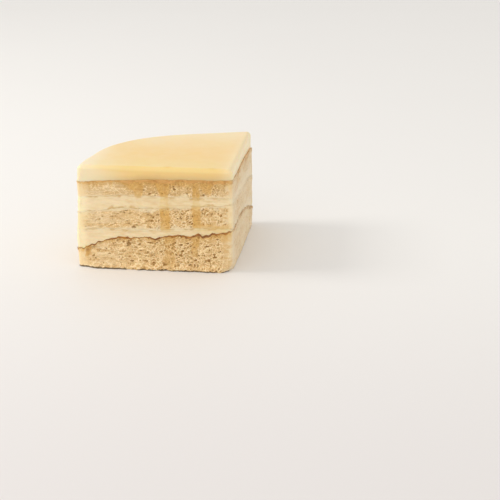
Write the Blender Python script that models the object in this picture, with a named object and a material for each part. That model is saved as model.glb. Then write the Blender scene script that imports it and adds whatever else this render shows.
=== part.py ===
"""A quarter of a round honey layer cake, cut from its centre and standing on its base.

Three layers of sponge with a cream filling on each of the lower two, under a thick topping of
set honey custard. Two cut faces meet at the tip, which was the cake's centre. The front one looks
along -Y, the side one along +X, and the cake's own round side is behind them and to the left.

Metres, +Z up. The origin is the middle of the base.
"""

import collections
import math

import bmesh
import bpy
from mathutils import Vector, noise

CAKE_RADIUS = 0.090  # an 18 cm tin
CAKE_HEIGHT = 0.0617
LAYER_GAP = 0.0003  # between one layer and the next
CORNER_ROUND = 0.0024  # the upright edges
SHARPEST_CORNER = 0.0004  # their radius where a rounded edge leaves less
TOPPING_ROUND = 0.0027  # the topping's upper edge
BASE_ROUND = 0.0015  # the crushed edge that the cake stands on
EDGE_STEPS = 3  # rows in a rounded edge

# The round side is a little uneven: its radius at seven turns from the front cut face to the
# side one, and how far it leans out below the topping, at eight heights.
RIM_TURNS = (0, 15, 30, 45, 60, 75, 90)  # degrees
RIM_RADII = (CAKE_RADIUS, 0.0906, 0.0940, 0.0942, 0.0912, 0.0893, 0.0930)
FLARE_HEIGHTS = (0, 0.006, 0.012, 0.018, 0.025, 0.040, 0.050, CAKE_HEIGHT)
FLARE = (0.0013, 0.0015, 0.0017, 0.0019, 0.0013, 0.0005, 0.0005, 0)
SIDE_SWELL = 0.0007  # how far the side cut face bulges below the topping, away from the tip
SWELL_REACH = 0.7  # of the radius, where the bulge is full

CRUST_LIP = 0.0009  # how far a browned crust stands out at the round side
LIP_POWER = 4  # how suddenly it does, going up a layer's side
CREAM_BULGE = 0.0004  # how far the cream is squeezed out there
CREAM_DIP = 0.0002  # how far the knife left it behind the cut faces
CRUMB_DEPTH = 0.0003  # fine unevenness of a cut face
CRUMB_LENGTH = 0.0031
PORE_DEPTH = 0.0007  # large pores in a cut face
PORE_SPACING = 0.0052
PORE_WIDTH = 0.45  # of the spacing
SIDE_CRUMB = 0.45  # relief of the baked round side, of a cut face's
RIPPLE_LENGTH = 0.011  # of the waves in a layer's upper surface
RIPPLE_SHIFT = 9  # sets the waves of one surface apart from the next one's

CUT_STEPS = 30  # along each cut face
ARC_STEPS = 46  # along the round side
CORNER_STEPS = 2
CAP_SCALES = (0.86, 0.6, 0.3)  # rings inside the outline, each with half the points
HUB = 4 / (3 * math.pi) * CAKE_RADIUS  # a quarter disc's centroid, from either cut face

# A layer's upper surface, given by its height at six places on the way from the centre to the
# rim, along the front cut face and along the side one, and by how far it ripples.
STATIONS = (0, 0.25, 0.5, 0.75, 0.9, 1)  # of the way to the rim
Surface = collections.namedtuple("Surface", "front side ripple")
LOWER_CRUST = Surface(
    (0.0252, 0.0220, 0.0205, 0.0193, 0.0161, 0.0121),
    (0.0252, 0.0251, 0.0242, 0.0188, 0.0144, 0.0114),
    0.00040,
)
LOWER_CREAM = Surface(
    (0.0267, 0.0262, 0.0243, 0.0241, 0.0240, 0.0232),
    (0.0267, 0.0265, 0.0260, 0.0246, 0.0208, 0.0180),
    0.00025,
)
MIDDLE_SPONGE = Surface(
    (0.0405, 0.0389, 0.0374, 0.0369, 0.0347, 0.0333),
    (0.0405, 0.0396, 0.0384, 0.0368, 0.0342, 0.0322),
    0.00030,
)
UPPER_CREAM = Surface(
    (0.0445, 0.0446, 0.0445, 0.0444, 0.0439, 0.0432),
    (0.0445, 0.0445, 0.0443, 0.0440, 0.0434, 0.0427),
    0.00020,
)
UPPER_CRUST = Surface(
    (0.0553, 0.0550, 0.0545, 0.0533, 0.0527, 0.0519),
    (0.0553, 0.0547, 0.0544, 0.0533, 0.0521, 0.0509),
    0.00020,
)
BASE = Surface((0,) * 6, (0,) * 6, 0)
CAKE_TOP = Surface((CAKE_HEIGHT,) * 6, (CAKE_HEIGHT,) * 6, 0)

# A point of the outline: its place, the way it looks out, and its share of the round side.
Rim = collections.namedtuple("Rim", "x y out_x out_y round_side")
# A row of a wall: its share of the height between the rounded edges, its rise above where that
# share starts, and how far inside the outline it lies.
Row = collections.namedtuple("Row", "share rise inset")


def clear_scene():
    for old in list(bpy.data.objects):
        bpy.data.objects.remove(old)


def smooth_curve(stations, values, at):
    """The value at a place, on a smooth curve through those at the stations."""
    last = len(stations) - 1
    index = min(sum(at > station for station in stations[1:]), last - 1)

    def slope(here):
        before, after = max(here - 1, 0), min(here + 1, last)
        return (values[after] - values[before]) / (stations[after] - stations[before])

    width = stations[index + 1] - stations[index]
    t = (at - stations[index]) / width
    return (
        (2 * t**3 - 3 * t**2 + 1) * values[index]
        + (t**3 - 2 * t**2 + t) * width * slope(index)
        + (3 * t**2 - 2 * t**3) * values[index + 1]
        + (t**3 - t**2) * width * slope(index + 1)
    )


def smooth_step(share):
    """A soft start and a soft end, from 0 to 1."""
    share = min(max(share, 0), 1)
    return share * share * (3 - 2 * share)


# ---------------------------------------------------------------- the cake's outline


def rim_radius(turn):
    """Distance from the tip to the round side, at a turn in degrees from the front cut face."""
    return smooth_curve(RIM_TURNS, RIM_RADII, min(max(turn, 0), 90))


def arc(centre_x, centre_y, radius, start, end, steps, round_side):
    """Points on an arc, without the last one, and the way that each looks out."""
    points = []
    for step in range(steps):
        angle = start + (end - start) * step / steps
        out_x, out_y = math.cos(angle), math.sin(angle)
        x, y = centre_x + radius * out_x, centre_y + radius * out_y
        points.append(Rim(x, y, out_x, out_y, round_side))
    return points


def round_arc(start, end, steps, extra):
    """Points on the uneven round side, as far outside it as extra, without the last one."""
    points = []
    for step in range(steps):
        angle = start + (end - start) * step / steps
        out_x, out_y = math.cos(angle), math.sin(angle)
        radius = rim_radius(180 - math.degrees(angle)) + extra
        points.append(Rim(radius * out_x, radius * out_y, out_x, out_y, 1))
    return points


def straight(start, end, out, steps):
    """Points on a cut face, without the last one."""
    points = []
    for step in range(steps):
        share = step / steps
        x = start[0] + (end[0] - start[0]) * share
        y = start[1] + (end[1] - start[1]) * share
        points.append(Rim(x, y, out[0], out[1], 0))
    return points


def quarter_outline(inset=0, flare=0):
    """Round the quarter cake with the tip at (0, 0): the front, the side, then the round side."""
    corner = max(CORNER_ROUND - inset, SHARPEST_CORNER)
    near = inset + corner  # from a cut face's plane to the centre of a corner's arc
    extra = flare - inset
    front, side = rim_radius(0) + extra - corner, rim_radius(90) + extra - corner
    front_reach, side_reach = math.sqrt(front**2 - near**2), math.sqrt(side**2 - near**2)
    front_lean, side_lean = math.asin(near / front), math.asin(near / side)
    right, up, left, down = (math.radians(angle) for angle in (0, 90, 180, 270))
    return (
        straight((-front_reach, inset), (-near, inset), (0, -1), CUT_STEPS)
        + arc(-near, near, corner, down - math.tau, right, CORNER_STEPS, 0)
        + straight((-inset, near), (-inset, side_reach), (1, 0), CUT_STEPS)
        + arc(-near, side_reach, corner, right, up + side_lean, CORNER_STEPS, 0.5)
        + round_arc(up + side_lean, left - front_lean, ARC_STEPS, extra)
        + arc(-front_reach, near, corner, left - front_lean, down, CORNER_STEPS, 0.5)
    )


# ---------------------------------------------------------------- the layers' surfaces


def surface_height(surface, x, y):
    """Height of a surface over (x, y), which is measured from the tip."""
    turn = math.degrees(math.atan2(y, -x))
    share = math.hypot(x, y) / rim_radius(turn)
    front = smooth_curve(STATIONS, surface.front, share)
    side = smooth_curve(STATIONS, surface.side, share)
    ripple = noise.noise(Vector((x, y, surface.front[0] * RIPPLE_SHIFT)) / RIPPLE_LENGTH)
    return front + (side - front) * smooth_step(turn / 90) + surface.ripple * ripple


def rim_height(surface):
    """About how high a surface is at the rim."""
    return (surface.front[-1] + surface.side[-1]) / 2


# ---------------------------------------------------------------- the layers' side walls


def side_swell(rim):
    """How far the side cut face bulges, from nothing at the tip. It ends at the upright edges."""
    along = smooth_step(rim.y / (SWELL_REACH * CAKE_RADIUS))
    return SIDE_SWELL * along * max(rim.out_x, 0) ** 2


def crumb(rim, height, up):
    """Outward step of a sponge's wall: fine unevenness and large pores, and a lip at its crust."""
    place = Vector((rim.x, rim.y, height))
    relief = CRUMB_DEPTH * noise.noise(place / CRUMB_LENGTH)
    nearest = noise.voronoi(place / PORE_SPACING)[0][0]
    relief -= PORE_DEPTH * max(0, 1 - nearest / PORE_WIDTH)
    relief *= 1 - (1 - SIDE_CRUMB) * rim.round_side
    return relief + side_swell(rim) + CRUST_LIP * rim.round_side * up**LIP_POWER


def cream(rim, height, up):
    """Outward step of a filling's wall: squeezed out at the round side, dragged at the cuts."""
    bow = math.sin(math.pi * up)
    squeezed = bow * (CREAM_BULGE * rim.round_side - CREAM_DIP * (1 - rim.round_side))
    return squeezed + side_swell(rim)


def plain(rim, height, up):
    """The topping's wall has no relief."""
    return 0


def wall_rows(count, base_round, top_round):
    """The rows of a wall, from its lower edge to its upper one, with count steps between the two."""
    rows = []
    for step in range(EDGE_STEPS if base_round else 0):
        angle = math.radians(90) * step / EDGE_STEPS
        rows.append(Row(0, -base_round * math.cos(angle), base_round * (1 - math.sin(angle))))
    rows += [Row(step / count, 0, 0) for step in range(count + 1)]
    for step in range(1, EDGE_STEPS + 1 if top_round else 0):
        angle = math.radians(90) * step / EDGE_STEPS
        rows.append(Row(1, top_round * math.sin(angle), top_round * (1 - math.cos(angle))))
    return rows


# ---------------------------------------------------------------- building a layer


def gap_above(surface):
    """How far above a surface the layer on it starts."""
    return LAYER_GAP / 2 if surface is not BASE else 0


def gap_below(surface):
    """How far below its surface a layer ends."""
    return LAYER_GAP / 2 if surface is not CAKE_TOP else 0


def row_flare(row, lower, upper, base_round, top_round):
    """How far a row of a wall leans out, by its height at the rim."""
    foot, head = rim_height(lower) + base_round, rim_height(upper) - top_round
    height = foot + (head - foot) * row.share + row.rise
    return smooth_curve(FLARE_HEIGHTS, FLARE, min(max(height, 0), CAKE_HEIGHT))


def add_cap(bm, ring, surface, lift):
    """Closes a wall with a surface, on rings that each have half the points of the last."""
    points = quarter_outline()
    for scale in CAP_SCALES:
        points = points[::2]
        inner = []
        for point in points:
            x = -HUB + (point.x + HUB) * scale
            y = HUB + (point.y - HUB) * scale
            inner.append(bm.verts.new((x, y, surface_height(surface, x, y) + lift)))
        for index, vert in enumerate(inner):
            ahead = inner[(index + 1) % len(inner)]
            first, second = ring[2 * index], ring[2 * index + 1]
            third = ring[(2 * index + 2) % len(ring)]
            bm.faces.new((first, second, vert))
            bm.faces.new((second, ahead, vert))
            bm.faces.new((second, third, ahead))
        ring = inner
    hub = bm.verts.new((-HUB, HUB, surface_height(surface, -HUB, HUB) + lift))
    for index, vert in enumerate(ring):
        bm.faces.new((vert, ring[(index + 1) % len(ring)], hub))


def add_walls(bm, lower, upper, count, shape, base_round, top_round):
    """The rings of the wall between two surfaces. It returns the lowest and the highest ring."""
    rings = []
    for row in wall_rows(count, base_round, top_round):
        ring = []
        flare = row_flare(row, lower, upper, base_round, top_round)
        for rim in quarter_outline(row.inset, flare):
            low = surface_height(lower, rim.x, rim.y) + gap_above(lower)
            high = surface_height(upper, rim.x, rim.y) - gap_below(upper)
            foot, head = low + base_round, high - top_round
            height = foot + (head - foot) * row.share + row.rise
            out = shape(rim, height, (height - low) / (high - low))
            place = (rim.x + rim.out_x * out, rim.y + rim.out_y * out, height)
            ring.append(bm.verts.new(place))
        rings.append(ring)
    for ring, above in zip(rings, rings[1:]):
        for index, vert in enumerate(ring):
            ahead = (index + 1) % len(ring)
            bm.faces.new((vert, ring[ahead], above[ahead], above[index]))
    fit_edge(rings[0], lower, gap_above(lower))
    fit_edge(rings[-1], upper, -gap_below(upper))
    return rings[0], rings[-1]


def fit_edge(ring, surface, lift):
    """Puts a wall's edge on its surface, at the place that the wall's relief moved it to."""
    for vert in ring:
        vert.co.z = surface_height(surface, vert.co.x, vert.co.y) + lift


def add_layer(name, material, lower, upper, count, shape, base_round=0, top_round=0):
    """One layer of the quarter cake, as a closed solid."""
    bm = bmesh.new()
    bottom, top = add_walls(bm, lower, upper, count, shape, base_round, top_round)
    add_cap(bm, bottom, lower, gap_above(lower))
    add_cap(bm, top, upper, -gap_below(upper))
    bmesh.ops.recalc_face_normals(bm, faces=bm.faces)
    bmesh.ops.triangulate(bm, faces=bm.faces)
    mesh = bpy.data.meshes.new(name)
    bm.to_mesh(mesh)
    bm.free()
    mesh.materials.append(material)
    mesh.shade_smooth()
    mesh.set_sharp_from_angle(angle=math.radians(40))
    layer = bpy.data.objects.new(name, mesh)
    bpy.context.scene.collection.objects.link(layer)
    return layer


# ---------------------------------------------------------------- materials


def linear(channel):
    """An 8-bit sRGB channel as linear light."""
    share = channel / 255
    return share / 12.92 if share <= 0.04045 else ((share + 0.055) / 1.055) ** 2.4


def food_material(name, colour, roughness):
    material = bpy.data.materials.new(name)
    material.use_nodes = True
    surface = material.node_tree.nodes["Principled BSDF"]
    surface.inputs["Base Color"].default_value = (*(linear(channel) for channel in colour), 1)
    surface.inputs["Roughness"].default_value = roughness
    surface.inputs["Metallic"].default_value = 0
    return material


# ---------------------------------------------------------------- the cake


def centre_layers(layers):
    """Moves the layers so that the origin is the middle of the cake's base."""
    corners = [Vector(corner) for layer in layers for corner in layer.bound_box]
    middle = [(min(c[axis] for c in corners) + max(c[axis] for c in corners)) / 2 for axis in (0, 1)]
    tip = bpy.data.objects.new("cake_centre", None)
    tip.location = (-middle[0], -middle[1], 0)
    bpy.context.scene.collection.objects.link(tip)
    for layer in layers:
        layer.parent = tip


def build_cake():
    clear_scene()
    bottom_crumb = food_material("bottom sponge", (217, 184, 130), 0.85)
    middle_crumb = food_material("middle sponge", (222, 191, 141), 0.85)
    top_crumb = food_material("top sponge", (215, 178, 124), 0.85)
    lower_filling = food_material("lower cream", (240, 215, 167), 0.45)
    upper_filling = food_material("upper cream", (236, 213, 168), 0.45)
    custard = food_material("honey custard", (245, 213, 152), 0.3)
    layers = (
        add_layer("sponge_bottom", bottom_crumb, BASE, LOWER_CRUST, 8, crumb, BASE_ROUND),
        add_layer("cream_lower", lower_filling, LOWER_CRUST, LOWER_CREAM, 2, cream),
        add_layer("sponge_middle", middle_crumb, LOWER_CREAM, MIDDLE_SPONGE, 5, crumb),
        add_layer("cream_upper", upper_filling, MIDDLE_SPONGE, UPPER_CREAM, 2, cream),
        add_layer("sponge_top", top_crumb, UPPER_CREAM, UPPER_CRUST, 4, crumb),
        add_layer("topping", custard, UPPER_CRUST, CAKE_TOP, 2, plain, top_round=TOPPING_ROUND),
    )
    centre_layers(layers)


build_cake()
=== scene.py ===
"""The looks of a quarter of a honey layer cake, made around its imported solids.

Each layer's plain solid gives way to a finely modelled one: open sponge crumb with its pores and
browned crusts, drawn-out cream, and a smooth set custard topping. Metres, +Z up. Places on the
cake are measured from its tip, which was the whole cake's centre.
"""

import collections
import itertools
import math

import bpy
import numpy as np
from bpy.props import FloatProperty, FloatVectorProperty, PointerProperty
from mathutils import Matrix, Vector


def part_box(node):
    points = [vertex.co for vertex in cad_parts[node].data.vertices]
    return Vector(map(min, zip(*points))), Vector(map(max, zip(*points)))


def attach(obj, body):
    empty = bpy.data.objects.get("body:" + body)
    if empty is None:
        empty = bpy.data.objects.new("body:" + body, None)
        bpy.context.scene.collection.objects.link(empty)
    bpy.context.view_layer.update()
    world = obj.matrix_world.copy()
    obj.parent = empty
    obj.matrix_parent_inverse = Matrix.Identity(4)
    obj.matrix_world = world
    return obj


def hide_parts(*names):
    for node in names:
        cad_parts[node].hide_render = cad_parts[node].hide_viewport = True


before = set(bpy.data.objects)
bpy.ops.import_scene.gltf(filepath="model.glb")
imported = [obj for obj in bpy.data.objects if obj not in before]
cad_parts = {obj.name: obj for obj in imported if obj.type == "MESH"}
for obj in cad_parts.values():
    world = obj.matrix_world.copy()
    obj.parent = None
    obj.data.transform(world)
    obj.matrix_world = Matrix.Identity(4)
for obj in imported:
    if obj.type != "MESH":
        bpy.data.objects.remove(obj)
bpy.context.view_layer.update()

bl_info = {
    "name": "Honey Layer Cake",
    "version": (1, 0, 0),
    "blender": (4, 5, 0),
    "location": "View3D > Sidebar > Cake",
    "description": "Models and dresses a quarter of a honey layer cake around its solids",
    "category": "Add Mesh",
}

TOPPING_LOW, TOPPING_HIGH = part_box("topping")
TIP = Vector((TOPPING_HIGH.x, TOPPING_LOW.y, 0))
CAKE_HEIGHT = TOPPING_HIGH.z
CAKE_RADIUS = 0.090
HUB = 4 / (3 * math.pi) * CAKE_RADIUS  # a quarter disc's centroid, from either cut face
OUTLINE_LENGTH = 3.6 * CAKE_RADIUS  # about how far it is round the quarter
SHARPEST_CORNER = 0.0004

# The round side is a little uneven: its radius at seven turns from the front cut face to the
# side one, and how far it leans out below the topping, at eight heights.
RIM_TURNS = (0, 15, 30, 45, 60, 75, 90)  # degrees
RIM_RADII = (CAKE_RADIUS, 0.0906, 0.0940, 0.0942, 0.0912, 0.0893, 0.0930)
FLARE_HEIGHTS = (0, 0.006, 0.012, 0.018, 0.025, 0.040, 0.050, CAKE_HEIGHT)
FLARE = (0.0013, 0.0015, 0.0017, 0.0019, 0.0013, 0.0005, 0.0005, 0)

# Steps of the fine meshes round the cake. Their sum halves evenly, for the rings of the caps.
CUT_STEPS = 384
ARC_STEPS = 240
CORNER_STEPS = 8
HIDDEN_CAP = (0.985, 0.96, 0.9, 0.8, 0.6, 0.3)  # scales of the rings between two layers
OPEN_CAP = tuple(0.965 - 0.035 * step for step in range(27))  # and of those on the topping
SEAM = 0.00003  # how far neighbouring layers reach into each other

# A layer's upper surface: its height at six places on the way from the centre to the rim, along
# the front cut face and along the side one, and how far it ripples, in long waves and in short.
STATIONS = (0, 0.25, 0.5, 0.75, 0.9, 1)  # of the way to the rim
Surface = collections.namedtuple("Surface", "front side ripple jag")
LOWER_CRUST = Surface(
    (0.0252, 0.0220, 0.0205, 0.0193, 0.0161, 0.0121),
    (0.0252, 0.0251, 0.0242, 0.0188, 0.0144, 0.0114),
    0.00010,
    0.00095,
)
LOWER_CREAM = Surface(
    (0.0267, 0.0262, 0.0243, 0.0241, 0.0240, 0.0232),
    (0.0267, 0.0265, 0.0260, 0.0246, 0.0208, 0.0180),
    0.00025,
    0.00050,
)
MIDDLE_SPONGE = Surface(
    (0.0405, 0.0389, 0.0374, 0.0369, 0.0347, 0.0333),
    (0.0405, 0.0396, 0.0384, 0.0368, 0.0342, 0.0322),
    0.00030,
    0.00055,
)
UPPER_CREAM = Surface(
    (0.0445, 0.0446, 0.0445, 0.0444, 0.0439, 0.0432),
    (0.0445, 0.0445, 0.0443, 0.0440, 0.0434, 0.0427),
    0.00020,
    0.00055,
)
UPPER_CRUST = Surface(
    (0.0553, 0.0550, 0.0545, 0.0533, 0.0527, 0.0519),
    (0.0553, 0.0547, 0.0544, 0.0533, 0.0521, 0.0509),
    0.00020,
    0.00022,
)
BASE = Surface((0,) * 6, (0,) * 6, 0, 0)
CAKE_TOP = Surface((CAKE_HEIGHT,) * 6, (CAKE_HEIGHT,) * 6, 0, 0)
RIPPLE_LENGTH = 0.011
JAG_LENGTH = 0.0022

# Where the front cut face crosses the lower crust it breaks unevenly: distances from the tip, and
# how far the crust lies above its smooth curve there.
BREAK_PLACES = (
    0, 0.0026, 0.0096, 0.0119, 0.0142, 0.0172, 0.0201, 0.0230, 0.0248, 0.0277, 0.0306, 0.0353,
    0.0394, 0.0424, 0.0453, 0.0483, 0.0542, 0.0601, 0.0660, 0.0708, 0.0762, 0.0792, 0.0823,
    0.0854, 0.0880, 0.0900,
)
BREAK_LIFTS = (
    0.0001, -0.0002, -0.0004, 0.0007, -0.0008, -0.0006, 0.0004, -0.0003, -0.0010, -0.0001, 0.0004,
    0.0004, -0.0002, -0.0006, -0.0010, -0.0004, -0.0008, -0.0010, 0.0003, -0.0008, -0.0012, -0.0010,
    -0.0012, -0.0019, -0.0010, -0.0004,
)
BREAK_DEPTH = 0.012  # how far behind the face it has died out
# The front's foot: how high up it spreads, and how far from the tip it is crumbled.
FOOT_HEIGHT, FOOT_BREAK = 0.0040, 0.0618
CRUSH_WIDTH, CRUSH_HEIGHT = 0.0048, 0.0055  # of the stretch at the tip that is pushed in
FLAKE = 0.00028  # how far a crust's broken skin stands out
# A soft drip of brown from the lower crust down the front near its far end: its distance from the
# tip, half its width, how far it reaches down, and how strongly it colours.
DRIP_PLACE, DRIP_WIDTH, DRIP_LENGTH, DRIP_STRENGTH = 0.0836, 0.0014, 0.0066, 0.60

# An outline round the cake: arrays of places, of the way that each looks out, of its share of the
# round side, and of its distance from the tip, which is below zero on the front cut face.
Outline = collections.namedtuple("Outline", "x y out_x out_y round_side along")
# A row of a wall: its share of the height between the rounded edges, its rise above where that
# share starts, and how far inside the outline it lies.
Row = collections.namedtuple("Row", "share rise inset")
# A wall as grids of the same kind, with heights, distances above its lower edge and below its
# upper one, and its share of the side cut face.
Wall = collections.namedtuple("Wall", "x y z out_x out_y round_side along above below side")
# A pore in a wall: where it lies, half its width, its height for its width, how far it leans in
# radians, and how deep it is.
Pore = collections.namedtuple("Pore", "along height size flat lean depth")

# Larger pores that show on the front cut face: distance from the tip, height above the base, half
# the width, and height for the width.
CRATERS = (
    (0.0611, 0.0151, 0.0015, 1.0),
    (0.0265, 0.0166, 0.0010, 0.6),
    (0.0296, 0.0117, 0.0012, 0.8),
    (0.0217, 0.0065, 0.0011, 0.5),
    (0.0137, 0.0066, 0.0013, 0.8),
    (0.0105, 0.0089, 0.0013, 0.6),
    (0.0152, 0.0152, 0.0015, 0.3),
    (0.0225, 0.0146, 0.0008, 0.6),
    (0.0090, 0.0199, 0.0009, 0.6),
    (0.0085, 0.0165, 0.0010, 0.4),
    (0.0249, 0.0035, 0.0009, 0.6),
    (0.0345, 0.0165, 0.0009, 0.6),
    (0.0399, 0.0031, 0.0011, 0.7),
    (0.0466, 0.0060, 0.0009, 0.6),
    (0.0595, 0.0046, 0.0013, 0.6),
    (0.0820, 0.0074, 0.0010, 0.8),
    (0.0712, 0.0116, 0.0009, 0.7),
    (0.0301, 0.0158, 0.0011, 0.7),
    (0.0568, 0.0133, 0.0010, 0.6),
    (0.0548, 0.0152, 0.0010, 0.8),
    (0.0640, 0.0165, 0.0011, 0.6),
    (0.0575, 0.0255, 0.0014, 0.8),
    (0.0532, 0.0320, 0.0009, 0.6),
    (0.0289, 0.0362, 0.0009, 0.9),
    (0.0284, 0.0290, 0.0008, 0.7),
    (0.0478, 0.0460, 0.0010, 0.6),
    (0.0335, 0.0492, 0.0010, 0.7),
    (0.0261, 0.0468, 0.0008, 0.5),
    (0.0166, 0.0462, 0.0009, 0.7),
)
# Large pores among the crumb's cells: how many to a square centimetre, smallest and largest size,
# and depth for their size.
PORE_KINDS = (
    (6.0, 0.00040, 0.00065, 1.0),
    (1.6, 0.00065, 0.00105, 0.8),
)
# The share of them that is kept: all on the front cut, and fewer on the side one and the round side.
KEPT_PLACES = (0, 0.004, CAKE_RADIUS, CAKE_RADIUS + 0.004)
KEPT_SHARES = (1, 0.55, 0.55, 0.35)
# The crumb's own cells: their width, how deep the deepest are, how high their walls stand, and how
# strongly they show in the painted shade of their hollows and the painted highlight of their walls.
CELL_KINDS = (
    (0.00175, 0.00042, 0.00016, 1.0),
    (0.00095, 0.00022, 0.00010, 0.6),
)
FULL_SHADE_DEPTH = 0.00045  # a pore this deep is painted as dark as any: painted shade
# The knife drew the crumb out along the far half of the front cut and along the whole side one:
# places along the wall, and what they become with those stretches drawn together.
DRAG_PLACES = (-0.090, -0.045, 0, 0.090, 0.250)
DRAG_RUNS = (-0.065, -0.045, 0, 0.045, 0.205)

# Honey that ran down the front cut face and soaked in: how strongly it colours, and from top to
# bottom its height, its middle's distance from the tip, and half its width.
Run = collections.namedtuple("Run", "strength course")
HONEY_RUNS = (
    Run(
        0.80,
        ((0.0535, 0.0585, 0.0078), (0.0495, 0.0560, 0.0048), (0.0465, 0.0547, 0.0028),
         (0.0440, 0.0550, 0.0016)),
    ),
    Run(0.30, ((0.0440, 0.0550, 0.0020), (0.0385, 0.0540, 0.0016))),
    Run(
        0.90,
        ((0.0535, 0.0407, 0.0060), (0.0500, 0.0400, 0.0046), (0.0475, 0.0394, 0.0036),
         (0.0450, 0.0394, 0.0025), (0.0240, 0.0390, 0.0029)),
    ),
    Run(0.60, ((0.0215, 0.0370, 0.0040), (0.0165, 0.0370, 0.0032))),
    Run(
        0.32,
        ((0.0165, 0.0370, 0.0032), (0.0110, 0.0362, 0.0030),
         (0.0048, 0.0378, 0.0042), (0.0025, 0.0375, 0.0038)),
    ),
    Run(0.90, ((0.0535, 0.0207, 0.0025), (0.0257, 0.0210, 0.0023))),
    Run(0.80, ((0.0205, 0.0215, 0.0024), (0.0150, 0.0217, 0.0022))),
    Run(0.40, ((0.0150, 0.0217, 0.0022), (0.0093, 0.0217, 0.0018))),
    Run(0.70, ((0.0535, 0.0148, 0.0046), (0.0506, 0.0145, 0.0036), (0.0470, 0.0139, 0.0020))),
    Run(0.55, ((0.0545, 0.0420, 0.0250), (0.0518, 0.0400, 0.0220))),
    Run(0.80, ((0.0125, 0.0852, 0.0021), (0.0095, 0.0854, 0.0016), (0.0060, 0.0858, 0.0010))),
    Run(0.80, ((0.0120, 0.0884, 0.0011), (0.0098, 0.0884, 0.0008))),
    Run(0.80, ((0.0120, 0.0912, 0.0010), (0.0092, 0.0910, 0.0007))),
    Run(0.20, ((0.0110, 0.0825, 0.0030), (0.0045, 0.0820, 0.0026))),
    Run(0.40, ((0.0240, 0.0040, 0.0040), (0.0190, 0.0040, 0.0034))),
    Run(0.95, ((0.0272, 0.0066, 0.0064), (0.0234, 0.0060, 0.0058))),
    Run(0.55, ((0.0285, 0.0120, 0.0115), (0.0240, 0.0120, 0.0115), (0.0208, 0.0105, 0.0100))),
    Run(0.95, ((0.0565, 0.0400, 0.0055), (0.0535, 0.0400, 0.0050))),
)

# Faint blisters at the topping's front edge: distance from the tip, from the front, and size.
BLISTERS = ((0.0375, 0.0022, 0.0021), (0.0118, 0.0020, 0.0023))
# Where honey ran over the topping's front into the crust: its middle's distance from the tip, and
# half its width.
HONEYED_PLACE, HONEYED_WIDTH = 0.0490, 0.0150
TOPPING_LINES, TOPPING_DENTS = 0.00004, 0.00012  # depth of the knife's lines and of broad dents
NOISE_VALUES = 4096  # in a table of noise, a power of two

LIT_PLACE = Vector((0, 0, 0.03))  # what the lights point at
FLOOR_REACH = 4.0
CAMERA_PLACE = Vector((0.08587, -0.64693, 0.24539))  # from the tip, like its target
CAMERA_TARGET = Vector((0.00540, 0.04023, 0))
CAMERA_LENS, SENSOR_WIDTH = 86.4, 36  # mm


def linear(red, green, blue):
    """An 8-bit sRGB colour as linear light."""
    shares = (channel / 255 for channel in (red, green, blue))
    return tuple(
        share / 12.92 if share <= 0.04045 else ((share + 0.055) / 1.055) ** 2.4 for share in shares
    )


# ---------------------------------------------------------------- settings


def colour_property(name, description, default):
    return FloatVectorProperty(
        name=name, description=description, subtype="COLOR", size=3, min=0, max=1, default=default
    )


def length_property(name, description, default):
    return FloatProperty(name=name, description=description, unit="LENGTH", min=0, default=default)


class CakeForm(bpy.types.PropertyGroup):
    """Sizes of the cake's edges and of its relief."""

    corner_round: length_property("Corner", "Radius of the upright edges", 0.0024)
    topping_round: length_property("Topping edge", "Radius of the topping's upper edge", 0.0027)
    base_round: length_property("Base edge", "Radius of the crushed edge it stands on", 0.0004)
    fraying: length_property("Fraying", "How far the base edge crumbles in and out", 0.0009)
    foot_spread: length_property("Foot", "How far the front's foot spreads", 0.0022)
    tip_crush: length_property("Tip crush", "How far the tip's foot has been pushed in", 0.0042)
    side_swell: length_property("Side swell", "Bulge of the side cut face", 0.0007)
    crust_lip: length_property("Crust lip", "How far a crust stands out at the rim", 0.0004)
    grain: length_property("Grain", "Height of the crumb's finest relief", 0.00007)
    unevenness: length_property("Unevenness", "Depth of the broad dents in a cut face", 0.00030)
    cream_bulge: length_property("Cream bulge", "How far cream is squeezed out", 0.0004)
    cream_drag: length_property("Cream drag", "Depth of the knife's lines in the cream", 0.00009)
    topping_wave: length_property("Topping wave", "Height of the topping's slow waves", 0.00018)


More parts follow.
